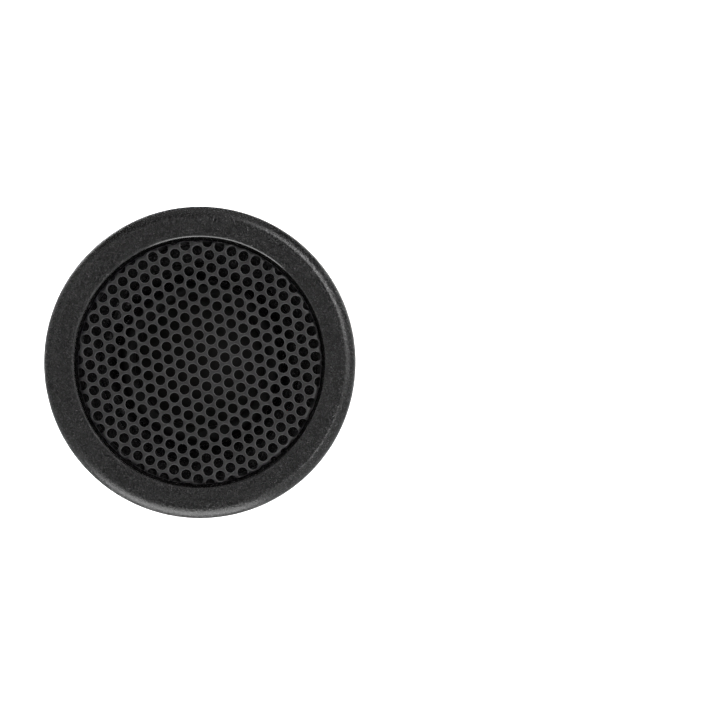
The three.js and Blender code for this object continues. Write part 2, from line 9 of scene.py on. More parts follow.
import bmesh
import bpy
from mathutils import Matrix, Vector


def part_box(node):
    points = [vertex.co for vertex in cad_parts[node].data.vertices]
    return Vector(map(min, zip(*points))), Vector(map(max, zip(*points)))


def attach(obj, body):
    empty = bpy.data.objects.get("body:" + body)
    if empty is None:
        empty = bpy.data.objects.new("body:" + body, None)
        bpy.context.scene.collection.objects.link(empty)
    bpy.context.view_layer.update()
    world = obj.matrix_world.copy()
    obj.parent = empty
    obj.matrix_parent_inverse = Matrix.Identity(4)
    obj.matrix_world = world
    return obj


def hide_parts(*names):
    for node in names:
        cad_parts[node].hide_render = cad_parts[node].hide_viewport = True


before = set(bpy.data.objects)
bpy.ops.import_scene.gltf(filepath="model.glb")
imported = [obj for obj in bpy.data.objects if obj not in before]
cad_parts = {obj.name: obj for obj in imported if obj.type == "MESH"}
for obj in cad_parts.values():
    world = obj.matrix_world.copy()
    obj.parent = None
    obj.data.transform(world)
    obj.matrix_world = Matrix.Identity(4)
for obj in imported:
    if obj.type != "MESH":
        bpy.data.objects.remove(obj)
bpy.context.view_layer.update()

MM = 0.001
TAU = math.tau

# Fineness of the turned pieces, and the angle above which an edge stays crisp.
SEGMENTS = 288
DOME_SEGMENTS = 144
SMALL_SEGMENTS = 48
SHARP_ANGLE = math.radians(32)

# How far boolean tools run past what they cut, how close a picked face has to be, and which points are one.
OVERSHOOT = 1 * MM
TOLERANCE = 0.01 * MM
WELD_DISTANCE = 0.0005 * MM

# Rounded edges on the CAD nodes that keep their shape, where faces meet at more than BEVEL_ANGLE.
BEVEL_ANGLE = math.radians(40)
BEVEL_WELD = 0.001 * MM
BEVEL_SEGMENTS = 3
WASHER_BEVEL = 0.12 * MM
BLADE_BEVEL = 0.08 * MM
LUG_BEVEL = 0.05 * MM
MOTOR_BEVEL = 0.1 * MM

# Housing: flange and its opening. Faces whose normal's y lies in LIP_FACET_NORMALS are the lip's facet.
FLANGE_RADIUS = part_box("housing")[1].x
FLANGE_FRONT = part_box("housing")[0].y
OPENING_RADIUS = 19.4 * MM
LIP_INNER_ROUND = 0.08 * MM
LIP_OUTER_ROUND = 0.15 * MM
LIP_FACET = 0.2 * MM
LIP_FACET_TURN = 41
LIP_FACET_NORMALS = (-0.95, -0.3)
LIP_EASE_ROUND = 4.2 * MM
LIP_EASE_TURN = 12
LIP_MARGIN = 0.1 * MM
FACE_FALL = 0.12 * MM
CREST_ROUND = 0.7 * MM
CREST_TURN = 25
SHOULDER_ROUND = 2.7 * MM
SHOULDER_TURN = 72
FLANGE_DRAFT = 0.1 * MM
SHELF_RADIUS = 15.5 * MM
SHELF_FRONT = -2.6 * MM
LAND_INNER = 23.5 * MM
GASKET_FLOOR = -0.4 * MM
EDGE_ROUND = 0.2 * MM

# Housing: barrel, and the pillars inside it.
BARREL_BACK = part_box("housing")[1].y
BARREL_BORE = 19.7 * MM
KEYWAY_HALF_WIDTH = 1.5 * MM
KEYWAY_RADIUS = 20.6 * MM
PILLAR_FRONT = -1 * MM
PILLAR_RADIUS = 2.1 * MM
PILLAR_CIRCLE = 17.8 * MM
PILLAR_ANGLES = (90, 210, 330)
PILLAR_HOLE_DEPTH = 7 * MM
PILOT_RADIUS = 1.05 * MM
DRIVER_SCREW_CIRCLE = 17.4 * MM
DRIVER_SCREW_ANGLES = (30, 150, 270)
DRIVER_HOLE_FRONT = SHELF_FRONT + 0.7 * MM

# Thread of the barrel and its nut. It rises and falls over these shares of the pitch.
THREAD_PITCH = 1.8 * MM
THREAD_RISE = (0.08, 0.34)
THREAD_FALL = (0.58, 0.84)
THREAD_ROOT = 20.95 * MM
THREAD_HEIGHT = 0.5 * MM
THREAD_START = 0.9 * MM
THREAD_RUNOUT = 0.6 * MM
THREAD_CLEARANCE = 0.16 * MM
THREAD_STEP = THREAD_PITCH / 12

# Grille: round holes on a triangular grid in a sheet whose rim rolls back. The y of a face's normal tells
# whether it is on a hole's rounded edge, which gets a painted highlight, or on its wall, which gets painted
# shade.
GRILLE_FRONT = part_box("grille")[0].y
GRILLE_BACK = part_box("grille")[1].y
GRILLE_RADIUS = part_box("grille")[1].x
SHEET = 0.6 * MM
ROLL = 0.7 * MM
HOLE_PITCH = 2 * MM
HOLE_RADIUS = 0.78 * MM
HOLE_ROUND = 0.14 * MM
HOLE_SIDES = 24
HOLE_HIGHLIGHT_NORMALS = (-0.97, -0.2)
HOLE_SHADE_NORMALS = (-0.2, 0.97)
GRID_WELD = 0.01 * MM
ROW_ANGLE = math.radians(38.7)
HOLE_CENTRE = (0.5 * MM, 0.27 * MM)

# Dome and surround.
DOME_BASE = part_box("surround")[1].y - 0.3 * MM
DOME_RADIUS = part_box("dome")[1].x
DOME_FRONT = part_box("dome")[0].y
DOME_SKIN = 0.25 * MM
BEAD_RADIUS = 0.14 * MM
BEAD_OFFSET = 0.1 * MM
BEAD_SINK = 0.01 * MM
BEAD_START = 195
SURROUND_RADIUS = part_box("surround")[1].x
SURROUND_GAP = 0.02 * MM
SURROUND_SKIN = 0.3 * MM
ROLL_CENTRE = 11.3 * MM
ROLL_RADIUS = 1.2 * MM

# Front plate: throat, nose inside the shelf, flange and skirt.
THROAT_RADIUS = 12.9 * MM
THROAT_LAND = 0.1 * MM
THROAT_FLARE = 2.4 * MM
THROAT_FLARE_TURN = 82
NOSE_DEPTH = 0.1 * MM
NOSE_GAP = 0.2 * MM
NOSE_CHAMFER = 0.1 * MM
PLATE_FRONT = 0.1 * MM
PLATE_BACK = 1.5 * MM
PLATE_RADIUS = 19.4 * MM
PLATE_CUT_FRONT = -0.05 * MM
SKIRT_RADIUS = 15.4 * MM
SKIRT_BORE = 14.7 * MM
SKIRT_BACK = 6 * MM
NOTCH_GAP = 0.3 * MM

# Lock nut and gasket.
NUT_FRONT, NUT_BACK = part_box("lock_nut")[0].y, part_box("lock_nut")[1].y
NUT_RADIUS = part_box("slip_washer")[1].x
NUT_GRIPS = 24
NUT_GRIP_DEPTH = 0.55 * MM
NUT_GRIP_SLOPE = (0.2, 0.75)
NUT_EDGE = 0.35 * MM
NUT_EDGE_ANGLES = (0, 22, 45, 68, 90)
NUT_LEAD_IN = 0.4 * MM
GASKET_INNER = 21.8 * MM
GASKET_EDGE = 0.25 * MM

# Rear cover with its step, and the terminal block with its blades.
BLADES = ("blade_positive", "blade_negative")
COVER_CHAMFER = 0.5 * MM
COVER_STEP = 0.35 * MM
COVER_STEP_RADIUS = 19.9 * MM
BLADE_SLACK = 0.15 * MM
BLOCK_CHAMFER = 0.35 * MM
BLOCK_SEAT = 0.6 * MM
BLOCK_SEAT_DEPTH = 0.5 * MM

# Polarity marks on the rear cover: half an arm's length and width, root, height, and lift above the block.
MARK_ARM = 1.2 * MM
MARK_BAR = 0.27 * MM
MARK_ROOT = 0.1 * MM
MARK_HEIGHT = 0.3 * MM
MARK_LIFT = 2.4 * MM

# Cover screws: point, shank, pan head and cross recess.
SCREW_TIP_RADIUS = 0.15 * MM
SCREW_POINT = 0.9 * MM
SCREW_SHANK = 0.7 * MM
SCREW_HEAD = 1 * MM
SCREW_SEAT_ROUND = 0.08 * MM
SCREW_PAN_LIFT = 0.25 * MM
SCREW_PAN_ROUND = 0.75 * MM
SCREW_PAN_TURN = 84
RECESS_REACH = 0.85 * MM
RECESS_HALF_WIDTH = 0.19 * MM
RECESS_DEPTH = 0.6 * MM
RECESS_OVERSHOOT = 0.5 * MM

# Camera: square on to the tweeter, which stands left of the picture's middle.
CAMERA_DISTANCE = 1.0
FIELD_WIDTH = 111.3 * MM
CAMERA_OFFSET = (24.83 * MM, 0.37 * MM)
CAMERA_CLIP = (0.01, 10)
SENSOR = 36

# Softboxes: name, place, target, width and height, radiance, and spread. The first two light the stage.
SOFTBOXES = (
    ("backdrop_light", (0, 0.6, 1.2), (0, 1.4, 0.1), (1.6, 0.5), 8, 90),
    ("side_wall_light", (0.75, -0.65, 1.2), (1.1, -1.0, 0), (0.9, 0.4), 3.2, 90),
    ("back_softbox", (-0.3, 0.45, 0.35), (0, 0, 0), (0.25, 0.25), 3, 180),
    ("left_softbox", (-0.36, -0.42, 0.2), (0, 0, 0), (0.6, 0.6), 0.55, 180),
    ("top_softbox", (0, 0.02, 0.6), (0, 0, 0), (0.6, 0.6), 0.5, 180),
    ("low_softbox", (-0.026, -0.011, -0.1), (-0.026, -0.011, 0), (0.132, 0.058), 4.8, 180),
)

# Small square lamps round the tweeter's right: angle from +X towards +Z, angle off the axis, and radiance.
LAMPS = (
    (70, 60, 4),
    (54, 60, 10),
    (36, 60, 11),
    (18, 60, 7),
    (0, 60, 4),
    (-22, 34, 2),
    (-42, 40, 24),
    (-60, 36, 4),
)
LAMP_DISTANCE = 0.38
LAMP_SIZE = 0.09
WORLD_STRENGTH = 0.07

# Stage: a round floor, a quarter-circle sweep and a wall.
FLOOR_HEIGHT = -0.15
STAGE_RADIUS = 1.5
STAGE_HEIGHT = 1.5
STAGE_SWEEP = 0.35
STAGE_SWEEP_STEPS = 12
STAGE_SEGMENTS = 64
STAGE_WELD = 0.1 * MM

# About the period of a wave texture whose scale is 1.
WAVE_PERIOD = 0.32


# Shapes.

def arc(centre_radius, centre_y, radius, start, end, steps):
    """Points on an arc of a (radius, y) outline. 0 points away from the axis, and 90 towards +Y."""
    angles = [math.radians(start + (end - start) * i / steps) for i in range(steps + 1)]
    return [(centre_radius + radius * math.cos(a), centre_y + radius * math.sin(a)) for a in angles]


def turned(outline, segments=SEGMENTS):
    """Turns a (radius, y) outline about Y. It runs from axis to axis, or closes on itself.
    A radius may be a function of the angle round +Y, counted from +Z towards +X."""
    bm = bmesh.new()
    rings = []
    for radius, y in outline:
        if radius == 0:
            rings.append([bm.verts.new((0, y, 0))] * segments)
            continue
        ring = []
        for i in range(segments):
            angle = TAU * i / segments
            here = radius(angle) if callable(radius) else radius
            ring.append(bm.verts.new((here * math.sin(angle), y, here * math.cos(angle))))
        rings.append(ring)
    closes = outline[0][0] != 0
    followers = rings[1:] + rings[:1] if closes else rings[1:]
    for near, far in zip(rings, followers):
        for i in range(segments):
            j = (i + 1) % segments
            corners = list(dict.fromkeys([near[i], near[j], far[j], far[i]]))
            bm.faces.new(corners)
    return bm


def rod(radius, front, back, centre, segments=SMALL_SEGMENTS):
    """A plain round bar along Y, used as a boolean tool."""
    bm = turned([(0, front), (radius, front), (radius, back), (0, back)], segments)
    bmesh.ops.translate(bm, verts=bm.verts, vec=(centre[0], 0, centre[1]))
    return bm


def block(low, high):
    """A box between two corners, used as a boolean tool or bevelled."""
    bm = bmesh.new()
    bmesh.ops.create_cube(bm, size=1)
    size = Vector(high) - Vector(low)
    middle = (Vector(high) + Vector(low)) / 2
    bmesh.ops.scale(bm, verts=bm.verts, vec=size)
    bmesh.ops.translate(bm, verts=bm.verts, vec=middle)
    return bm


def on_circle(radius, degrees):
    """(x, z) of a point on a circle about the axis, from +X towards +Z."""
    angle = math.radians(degrees)
    return radius * math.cos(angle), radius * math.sin(angle)


def off_axis(point):
    """Distance of a point from the tweeter's axis."""
    return math.hypot(point.x, point.z)


def shade(bm):
    """Smooth faces, with crisp edges where two faces meet at more than SHARP_ANGLE."""
    bmesh.ops.recalc_face_normals(bm, faces=bm.faces)
    for face in bm.faces:
        face.smooth = True
    for edge in bm.edges:
        edge.smooth = edge.calc_face_angle(0) < SHARP_ANGLE


def new_object(name, bm):
    """A shaded object in the scene, made of a bmesh that is used up."""
    mesh = bpy.data.meshes.new(name)
    shade(bm)
    bm.to_mesh(mesh)
    bm.free()
    made = bpy.data.objects.new(name, mesh)
    bpy.context.scene.collection.objects.link(made)
    return made


def apply_modifiers(piece):
    """Bakes a piece's modifiers into its mesh, and welds and shades the result."""
    evaluated = piece.evaluated_get(bpy.context.evaluated_depsgraph_get())
    mesh = bpy.data.meshes.new_from_object(evaluated)
    piece.modifiers.clear()
    piece.data = mesh
    bm = bmesh.new()
    bm.from_mesh(mesh)
    bmesh.ops.remove_doubles(bm, verts=bm.verts, dist=WELD_DISTANCE)
    shade(bm)
    bm.to_mesh(mesh)
    bm.free()


def combine(name, base, add=(), cut=(), keep=()):
    """One object from the base. It gains the shapes in add, loses those in cut, and then keeps only what lies
    inside those in keep."""
    piece = new_object(name, base)
    tools = [("UNION", new_object("tool", bm)) for bm in add]
    tools += [("DIFFERENCE", new_object("tool", bm)) for bm in cut]
    tools += [("INTERSECT", new_object("tool", bm)) for bm in keep]
    for operation, tool in tools:
        modifier = piece.modifiers.new("combine", "BOOLEAN")
        modifier.operation = operation
        modifier.solver = "MANIFOLD"
        modifier.object = tool
    apply_modifiers(piece)
    for _, tool in tools:
        bpy.data.objects.remove(tool)
    return piece


def install(piece, material, body, slot, *nodes):
    """Gives a new piece its material, its body and the CAD nodes it stands for. Its slot is not used."""
    piece.data.materials.clear()
    piece.data.materials.append(material)
    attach(piece, body)
    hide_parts(*nodes)


def paint_faces(piece, material, chosen):
    """Gives one more material to the faces of a piece for which chosen(centre, normal) holds."""
    piece.data.materials.append(material)
    index = len(piece.data.materials) - 1
    for face in piece.data.polygons:
        if chosen(face.center, face.normal):
            face.material_index = index


def paint(node, material, bevel=0):
    """Gives a CAD node its material, and rounds its edges where bevel is set."""
    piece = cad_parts[node]
    piece.data.materials.clear()
    piece.data.materials.append(material)
    if bevel:
        weld = piece.modifiers.new("weld", "WELD")
        weld.merge_threshold = BEVEL_WELD
        rounding = piece.modifiers.new("rounding", "BEVEL")
        rounding.width = bevel
        rounding.segments = BEVEL_SEGMENTS
        rounding.limit_method = "ANGLE"
        rounding.angle_limit = BEVEL_ANGLE
        rounding.harden_normals = False


# Thread.

def smooth_step(low, high, value):
    """0 up to low, 1 from high on, and a smooth rise between them."""
    share = min(max((value - low) / (high - low), 0), 1)
    return share * share * (3 - 2 * share)


def thread_ridge(angle, y):
    """Shape of the rounded right-hand thread, from 0 at its root to 1 on its crest."""
    phase = (y / THREAD_PITCH - angle / TAU) % 1
    return smooth_step(*THREAD_RISE, phase) - smooth_step(*THREAD_FALL, phase)


def barrel_radius(angle, y):
    """Radius of the barrel, with its two keyways and a thread that fades out at both ends."""
    if abs(THREAD_ROOT * math.cos(angle)) < KEYWAY_HALF_WIDTH:
        return KEYWAY_RADIUS
    fade_in = smooth_step(THREAD_START, THREAD_START + THREAD_RUNOUT, y)
    fade_out = 1 - smooth_step(BARREL_BACK - THREAD_RUNOUT, BARREL_BACK - EDGE_ROUND, y)
    return THREAD_ROOT + THREAD_HEIGHT * thread_ridge(angle, y) * fade_in * fade_out


def nut_bore(angle, y):
    """Radius of the nut's thread, which clears the barrel's and widens at the nut's two ends."""
    lead_in = max(NUT_FRONT + NUT_LEAD_IN - y, y - NUT_BACK + NUT_LEAD_IN, 0)
    return THREAD_ROOT + THREAD_CLEARANCE + THREAD_HEIGHT * thread_ridge(angle, y) + lead_in


def threaded_rows(radius, front, back):
    """Outline points from front to back, whose radius is a function of the angle and y."""
    count = math.ceil((back - front) / THREAD_STEP)
    rows = [front + (back - front) * i / count for i in range(count + 1)]
    return [(lambda angle, y=y: radius(angle, y), y) for y in rows]


# Pieces.

def lip_outline():
    """The opening's edge, from its wall over a narrow facet between two rounds, eased into the face."""
    facet_start, facet_end = 270 - LIP_FACET_TURN, 270 - LIP_EASE_TURN
    facing = Vector(on_circle(1, facet_start))
    easing = Vector(on_circle(1, facet_end))
    inner = Vector((OPENING_RADIUS + LIP_INNER_ROUND, 0))
    facet = Vector((-facing.y, facing.x)) * LIP_FACET
    outer = inner + facet + (LIP_INNER_ROUND - LIP_OUTER_ROUND) * facing
    ease = outer + (LIP_OUTER_ROUND - LIP_EASE_ROUND) * easing
    rise = FLANGE_FRONT - (ease.y - LIP_EASE_ROUND)
    return [
        *arc(inner.x, inner.y + rise, LIP_INNER_ROUND, 180, facet_start, steps=4),
        *arc(outer.x, outer.y + rise, LIP_OUTER_ROUND, facet_start, facet_end, steps=4),
        *arc(ease.x, ease.y + rise, LIP_EASE_ROUND, facet_end, 270, steps=6)[1:],
    ]


def shoulder_outline():
    """The flange's edge: a tight crest, a broad shoulder, and a drafted side down to the rounded back."""
    turn = math.radians(CREST_TURN)
    shoulder = FLANGE_RADIUS - FLANGE_DRAFT - SHOULDER_ROUND * math.sin(math.radians(SHOULDER_TURN))
    crest = shoulder + (SHOULDER_ROUND - CREST_ROUND) * math.sin(turn)
    crest_y = FLANGE_FRONT + FACE_FALL + CREST_ROUND
    shoulder_y = crest_y + (SHOULDER_ROUND - CREST_ROUND) * math.cos(turn)
    return [
        *arc(crest, crest_y, CREST_ROUND, -90, CREST_TURN - 90, steps=8),
        *arc(shoulder, shoulder_y, SHOULDER_ROUND, CREST_TURN - 90, SHOULDER_TURN - 90, steps=16)[1:],
        *arc(FLANGE_RADIUS - EDGE_ROUND, -EDGE_ROUND, EDGE_ROUND, 0, 90, steps=4),
    ]


def make_housing(material, edge_material, inner_shade_material, barrel_material):
    """Flange with a lip and shoulder, shelf behind the grille, gasket recess, and threaded barrel."""
    lip = lip_outline()
    outline = [
        *lip,
        *shoulder_outline(),
        *arc(LAND_INNER + EDGE_ROUND, -EDGE_ROUND, EDGE_ROUND, 90, 180, steps=4),
        (LAND_INNER, GASKET_FLOOR),
        (THREAD_ROOT, GASKET_FLOOR),
        *threaded_rows(barrel_radius, THREAD_START, BARREL_BACK - EDGE_ROUND),
        *arc(THREAD_ROOT - EDGE_ROUND, BARREL_BACK - EDGE_ROUND, EDGE_ROUND, 30, 90, steps=3),
        (BARREL_BORE, BARREL_BACK),
        (BARREL_BORE, 0),
        (SHELF_RADIUS, 0),
        *arc(SHELF_RADIUS + EDGE_ROUND, SHELF_FRONT + EDGE_ROUND, EDGE_ROUND, 180, 270, steps=4),
        (OPENING_RADIUS, SHELF_FRONT),
    ]
    pillars = [
        rod(PILLAR_RADIUS, PILLAR_FRONT, BARREL_BACK, on_circle(PILLAR_CIRCLE, angle))
        for angle in PILLAR_ANGLES]
    pilots = [
        rod(PILOT_RADIUS, BARREL_BACK - PILLAR_HOLE_DEPTH, BARREL_BACK + OVERSHOOT,
            on_circle(PILLAR_CIRCLE, angle))
        for angle in PILLAR_ANGLES]
    pilots += [
        rod(PILOT_RADIUS, DRIVER_HOLE_FRONT, OVERSHOOT, on_circle(DRIVER_SCREW_CIRCLE, angle))
        for angle in DRIVER_SCREW_ANGLES]
    piece = combine("bezel_and_barrel", turned(outline), add=pillars, cut=pilots)
    install(piece, material, "case", "housing_plastic", "housing")
    inner_front = lip[0][1] + LIP_MARGIN
    edge_low, edge_high = LIP_FACET_NORMALS
    # The faces inside the opening behind the lip are one moulding with the flange, but take the near-black
    # plate plastic: painted shade on the inner wall, shelf and bore.
    paint_faces(piece, inner_shade_material, lambda centre, _: (
        off_axis(centre) < OPENING_RADIUS + TOLERANCE and centre.y > inner_front))
    paint_faces(piece, edge_material, lambda centre, normal: (
        off_axis(centre) < OPENING_RADIUS + LIP_FACET and edge_low < normal.y < edge_high))
    paint_faces(piece, barrel_material, lambda centre, _: centre.y > GASKET_FLOOR / 2)


def hexagon_point(index):
    """(x, z) of a point on the border of a hexagonal grid cell with a pitch of 1. HOLE_SIDES of them make a
    full turn."""
    per_side = HOLE_SIDES // 6
    side, along = divmod(index % HOLE_SIDES, per_side)
    corner_radius = 1 / math.sqrt(3)
    start = ROW_ANGLE + math.radians(30 + 60 * side)
    end = start + math.radians(60)
    share = along / per_side
    x = corner_radius * ((1 - share) * math.cos(start) + share * math.cos(end))
    z = corner_radius * ((1 - share) * math.sin(start) + share * math.sin(end))
    return x, z


def hole_loops():
    """Loops of one grid cell from its front border, over the rounded rim and through the hole, to its back
    border. Each point is (x, depth, z) from the hole's centre on the front face."""
    border = [hexagon_point(i) for i in range(HOLE_SIDES)]
    angles = [math.atan2(z, x) for x, z in border]
    rims = arc(HOLE_RADIUS + HOLE_ROUND, HOLE_ROUND, HOLE_ROUND, -90, -180, steps=3)
    back_rims = [(radius, SHEET - depth) for radius, depth in reversed(rims)]
    loops = [[(HOLE_PITCH * x, 0, HOLE_PITCH * z) for x, z in border]]
    for radius, depth in rims + back_rims:
        loops.append([(radius * math.cos(a), depth, radius * math.sin(a)) for a in angles])
    loops.append([(HOLE_PITCH * x, SHEET, HOLE_PITCH * z) for x, z in border])
    return loops


def add_cell(bm, loops, centre):
    """Adds one grid cell with its hole, open along its border."""
    rings = [[bm.verts.new((centre.x + x, y, centre.y + z)) for x, y, z in loop] for loop in loops]
    for near, far in zip(rings, rings[1:]):
        for i in range(HOLE_SIDES):
            j = (i + 1) % HOLE_SIDES
            bm.faces.new((near[i], near[j], far[j], far[i]))


def perforated_sheet(reach):
    """A flat perforated sheet, wide enough for a disc of radius reach, with its front face at y = 0."""
    along = Vector((math.cos(ROW_ANGLE), math.sin(ROW_ANGLE))) * HOLE_PITCH
    across = Vector((math.cos(ROW_ANGLE + TAU / 6), math.sin(ROW_ANGLE + TAU / 6))) * HOLE_PITCH
    count = math.ceil(2 * reach / HOLE_PITCH)
    loops = hole_loops()
    bm = bmesh.new()
    for i in range(-count, count + 1):
        for j in range(-count, count + 1):
            centre = Vector(HOLE_CENTRE) + i * along + j * across
            if centre.length < reach + HOLE_PITCH:
                add_cell(bm, loops, centre)
    bmesh.ops.remove_doubles(bm, verts=bm.verts, dist=GRID_WELD)
    open_edges = [edge for edge in bm.edges if len(edge.link_faces) == 1]
    bmesh.ops.bridge_loops(bm, edges=open_edges)
    return bm


def roll_rim(mesh):
    """Rolls the sheet's rim back from the flat disc's edge, and then straight back to the grille's back."""
    flat = GRILLE_RADIUS - ROLL
    bend_length = (ROLL - SHEET / 2) * TAU / 4
    for vertex in mesh.vertices:
        x, depth, z = vertex.co
        radius = math.hypot(x, z)
        past = radius - flat
        if past > 0:
            turn = min(past / bend_length, 1) * TAU / 4
            straight = max(past - bend_length, 0)
            rolled = flat + (ROLL - depth) * math.sin(turn)
            back = ROLL - (ROLL - depth) * math.cos(turn) + straight
            vertex.co = Vector((x * rolled / radius, back, z * rolled / radius))
        vertex.co.y += GRILLE_FRONT


def make_grille(material, edge_material, hole_shade_material):
    """A disc punched right across, cut round through its outer holes, with its rim rolled back."""
    straight = GRILLE_BACK - GRILLE_FRONT - ROLL
    blank_radius = GRILLE_RADIUS - ROLL + (ROLL - SHEET / 2) * TAU / 4 + straight
    disc = turned([
        (0, -OVERSHOOT),
        (blank_radius, -OVERSHOOT),
        (blank_radius, SHEET + OVERSHOOT),
        (0, SHEET + OVERSHOOT),
    ])
    piece = combine("perforated_grille", perforated_sheet(blank_radius), keep=[disc])
    install(piece, material, "case", "grille_steel", "grille")
    # The holes' rounded edges take a lighter coat, a painted highlight, and their walls a near-black one,
    # painted shade. Once the rim rolls back, this shade keeps the holes there dark.
    for coat, (low, high) in ((edge_material, HOLE_HIGHLIGHT_NORMALS), (hole_shade_material, HOLE_SHADE_NORMALS)):
        paint_faces(piece, coat, lambda _, normal: low < normal.y < high)
    roll_rim(piece.data)


def make_dome(material):
    """A spherical cap of coated silk, with a bead of glue around its rim."""
    height = DOME_BASE - DOME_FRONT
    sphere = (DOME_RADIUS ** 2 + height ** 2) / (2 * height)
    centre = DOME_FRONT + sphere
    rim = math.degrees(math.asin(DOME_RADIUS / sphere))
    front = arc(0, centre, sphere, -90, -90 + rim, steps=40)
    back = arc(0, centre, sphere - DOME_SKIN, -90 + rim, -90, steps=40)
    bead = arc(DOME_RADIUS + BEAD_OFFSET, DOME_BASE - BEAD_SINK, BEAD_RADIUS, BEAD_START, 360, steps=8)
    outline = [(0, front[0][1]), *front[1:-1], *bead, *back[:-1], (0, back[-1][1])]
    piece = new_object("silk_dome", turned(outline, DOME_SEGMENTS))
    install(piece, material, "diaphragm", "dome_silk", "dome")


def make_surround(material):
    """A half-round roll of coated cloth between the dome and the ring."""
    back = DOME_BASE + SURROUND_SKIN
    inner = DOME_RADIUS + SURROUND_GAP
    outline = [
        (inner, DOME_BASE),
        *arc(ROLL_CENTRE, DOME_BASE, ROLL_RADIUS, -180, 0, steps=20),
        (SURROUND_RADIUS, DOME_BASE),
        (SURROUND_RADIUS, back),
        *arc(ROLL_CENTRE, back, ROLL_RADIUS - SURROUND_SKIN, 0, -180, steps=20),
        (inner, back),
    ]
    piece = new_object("surround_roll", turned(outline, DOME_SEGMENTS))
    install(piece, material, "case", "surround_cloth", "surround")


def make_front_plate(material):
    """Waveguide throat that flares to the shelf, and the flange and skirt behind it."""
    nose_front = SHELF_FRONT + NOSE_DEPTH
    nose_radius = SHELF_RADIUS - NOSE_GAP
    outline = [
        (THROAT_RADIUS, PLATE_FRONT),
        *arc(THROAT_RADIUS + THROAT_FLARE, PLATE_FRONT - THROAT_LAND, THROAT_FLARE,
             180, 180 + THROAT_FLARE_TURN, steps=16),
        (nose_radius, nose_front + NOSE_CHAMFER),
        (nose_radius, PLATE_FRONT),
        (PLATE_RADIUS, PLATE_FRONT),
        (PLATE_RADIUS, PLATE_BACK),
        (SKIRT_RADIUS, PLATE_BACK),
        (SKIRT_RADIUS, SKIRT_BACK),
        (SKIRT_BORE, SKIRT_BACK),
        (SKIRT_BORE, PLATE_BACK),
        (THROAT_RADIUS, PLATE_BACK),
    ]
    notches = [
        rod(PILLAR_RADIUS + NOTCH_GAP, PLATE_CUT_FRONT, SKIRT_BACK + OVERSHOOT,
            on_circle(PILLAR_CIRCLE, angle))
        for angle in PILLAR_ANGLES]
    holes = [
        rod(PILOT_RADIUS, PLATE_CUT_FRONT, PLATE_BACK + OVERSHOOT, on_circle(DRIVER_SCREW_CIRCLE, angle))
        for angle in DRIVER_SCREW_ANGLES]
    piece = combine("waveguide_plate", turned(outline), cut=notches + holes)
    install(piece, material, "case", "plate_plastic", "front_plate")


def blade_slot(node):
    """Boolean tool for the slot that a blade passes through."""
    low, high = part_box(node)
    slack = Vector((BLADE_SLACK, OVERSHOOT, BLADE_SLACK))
    return block(low - slack, high + slack)


def polarity_mark(node, bars, face):
    """Bars of a raised plus or minus above a blade, standing on the cover's face. A plus has two bars."""
    low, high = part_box(node)
    x = (low.x + high.x) / 2
    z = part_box("terminal_block")[1].z + MARK_LIFT
    sizes = ((MARK_ARM, MARK_BAR), (MARK_BAR, MARK_ARM))[:bars]
    return [
        block((x - half_x, face - MARK_ROOT, z - half_z), (x + half_x, face + MARK_HEIGHT, z + half_z))
        for half_x, half_z in sizes]


def make_rear_cover(material, ink):
    """Closing plate with a chamfered edge, a stiffening step, screw holes, slots and polarity marks."""
    low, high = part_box("rear_cover")
    radius = high.x
    shoulder = high.y - COVER_STEP
    outline = [
        (0, low.y),
        *arc(radius - EDGE_ROUND, low.y + EDGE_ROUND, EDGE_ROUND, -90, 0, steps=3),
        *arc(radius - COVER_CHAMFER, shoulder - COVER_CHAMFER, COVER_CHAMFER, 0, 90, steps=6),
        (COVER_STEP_RADIUS, shoulder),
        *arc(COVER_STEP_RADIUS - EDGE_ROUND, high.y - EDGE_ROUND, EDGE_ROUND, 0, 90, steps=4),
        (0, high.y),
    ]
    holes = [
        rod(PILOT_RADIUS, low.y - OVERSHOOT, high.y + OVERSHOOT, on_circle(PILLAR_CIRCLE, angle))
        for angle in PILLAR_ANGLES]
    slots = [blade_slot(node) for node in BLADES]
    marks = polarity_mark("blade_positive", 2, high.y) + polarity_mark("blade_negative", 1, high.y)
    piece = combine("back_cover", turned(outline), add=marks, cut=holes + slots)
    install(piece, material, "case", "housing_plastic", "rear_cover")
    paint_faces(piece, ink, lambda centre, _: centre.y > high.y + MARK_HEIGHT - TOLERANCE)


def make_terminal_block(material):
    """Moulded block with a chamfered back, and a shallow recess with a slot for each blade."""
    low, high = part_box("terminal_block")
    middle = (low.y + high.y) / 2
    body = block(low, high)
    rim = [edge for edge in body.edges if min(vertex.co.y for vertex in edge.verts) > middle]
    corners = [edge for edge in body.edges if abs(edge.verts[0].co.y - edge.verts[1].co.y) > TOLERANCE]
    bmesh.ops.bevel(body, geom=rim + corners, offset=BLOCK_CHAMFER, segments=BEVEL_SEGMENTS, profile=0.5,
                    affect="EDGES")
    cuts = []
    for node in BLADES:
        cuts.append(blade_slot(node))
        blade_low, blade_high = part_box(node)
        seat = Vector((BLOCK_SEAT, 0, BLOCK_SEAT))
        seat_low, seat_high = blade_low - seat, blade_high + seat
        seat_low.y = high.y - BLOCK_SEAT_DEPTH
        cuts.append(block(seat_low, seat_high))
    piece = combine("terminal_moulding", body, cut=cuts)
    install(piece, material, "case", "phenolic", "terminal_block")


def grip_radius(angle, inset):
    """Radius of the nut's outside with its rounded finger grips, less an inset."""
    wave = 0.5 + 0.5 * math.cos(NUT_GRIPS * angle)
    lobe = smooth_step(*NUT_GRIP_SLOPE, wave)
    return NUT_RADIUS - NUT_GRIP_DEPTH * (1 - lobe) - inset


